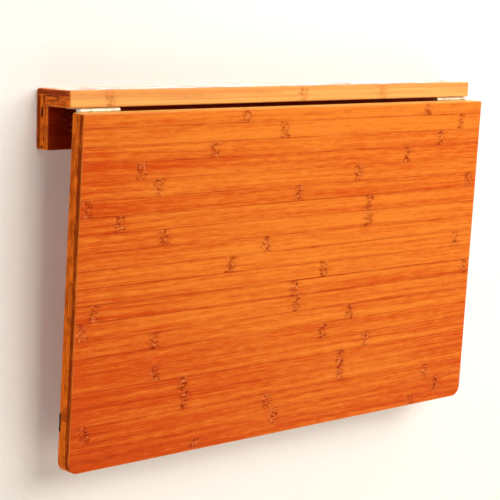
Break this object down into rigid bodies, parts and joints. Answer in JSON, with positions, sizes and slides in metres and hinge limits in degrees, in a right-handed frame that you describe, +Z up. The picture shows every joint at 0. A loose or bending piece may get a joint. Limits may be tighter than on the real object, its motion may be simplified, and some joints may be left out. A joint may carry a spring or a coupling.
{
  "type": "wall mounted drop leaf table",
  "caption": "Wall-mounted drop-leaf table in bamboo: a narrow ledge on a wall rail, with a leaf hinged under its front edge and held up by a swing-up steel prop frame.",
  "frame": {"origin": "middle of the table's width on the wall face of the back rail, level with the ledge's underside, which is the raised leaf's underside too", "axes": "+X along the wall to the right as seen from the room, +Y into the wall, +Z up; the leaf hangs in front, towards -Y"},
  "size_m": [0.6, 0.0702, 0.3698],
  "materials": {
    "ledge_bamboo": "satin lacquer on carbonised bamboo",
    "rail_bamboo": "satin lacquer on carbonised bamboo",
    "leaf_bamboo": "satin lacquer on carbonised bamboo",
    "upright_bamboo": "satin lacquer on carbonised bamboo",
    "cleat_bamboo": "satin lacquer on carbonised bamboo",
    "dowel_beech": "bare beech",
    "bar_black_steel": "black powder coat",
    "prop_black_steel": "black powder coat",
    "hinge_nickel": "nickel-plated steel",
    "hinge_pin_steel": "nickel-plated steel",
    "hinge_screw_nickel": "nickel-plated steel",
    "bar_screw_black": "black oxide",
    "cleat_screw_zinc": "yellow-passivated zinc",
    "buffer_screw_zinc": "bright zinc",
    "sleeve_rubber": "matt black rubber",
    "buffer_rubber": "matt black rubber",
    "bolt_black_oxide": "black oxide",
    "insert_brass": "turned brass",
    "spacer_nylon": "natural nylon"
  },
  "bodies": {
    "wall_frame": {"ledge": "ledge_bamboo", "back_rail": "rail_bamboo", "rail_dowels": "dowel_beech", "left_upright": "upright_bamboo", "left_upright_dowels": "dowel_beech", "left_ledge_hinge_plate": "hinge_nickel", "left_hinge_pin": "hinge_pin_steel", "left_ledge_hinge_screws": "hinge_screw_nickel", "left_pivot_bolt": "bolt_black_oxide", "left_pivot_insert": "insert_brass", "left_pivot_spacer": "spacer_nylon", "left_buffer": "buffer_rubber", "left_buffer_screw": "buffer_screw_zinc", "right_upright": "upright_bamboo", "right_upright_dowels": "dowel_beech", "right_ledge_hinge_plate": "hinge_nickel", "right_hinge_pin": "hinge_pin_steel", "right_ledge_hinge_screws": "hinge_screw_nickel", "right_pivot_bolt": "bolt_black_oxide", "right_pivot_insert": "insert_brass", "right_pivot_spacer": "spacer_nylon", "right_buffer": "buffer_rubber", "right_buffer_screw": "buffer_screw_zinc"},
    "leaf": {"leaf_panel": "leaf_bamboo", "stiffening_bar": "bar_black_steel", "stiffening_bar_screws": "bar_screw_black", "left_leaf_hinge_plate": "hinge_nickel", "left_leaf_hinge_screws": "hinge_screw_nickel", "left_catch_cleat": "cleat_bamboo", "left_catch_cleat_screws": "cleat_screw_zinc", "right_leaf_hinge_plate": "hinge_nickel", "right_leaf_hinge_screws": "hinge_screw_nickel", "right_catch_cleat": "cleat_bamboo", "right_catch_cleat_screws": "cleat_screw_zinc"},
    "prop": {"prop_frame": "prop_black_steel", "left_prop_sleeve": "sleeve_rubber", "right_prop_sleeve": "sleeve_rubber"}
  },
  "joints": [
    {"name": "leaf_hinge", "type": "hinge", "parent": "wall_frame", "child": "leaf", "pos_m": [0, -0.0505, -0.00285], "axis": [-1, 0, 0], "range_deg": [0, 92.5]},
    {"name": "prop_swing", "type": "hinge", "parent": "wall_frame", "child": "prop", "pos_m": [0, -0.01, -0.12], "axis": [-1, 0, 0], "range_deg": [0, 121.36]}
  ],
  "couplings": [
    {"joint": "prop_swing", "follows": "leaf_hinge", "ratio": 1.3109}
  ]
}
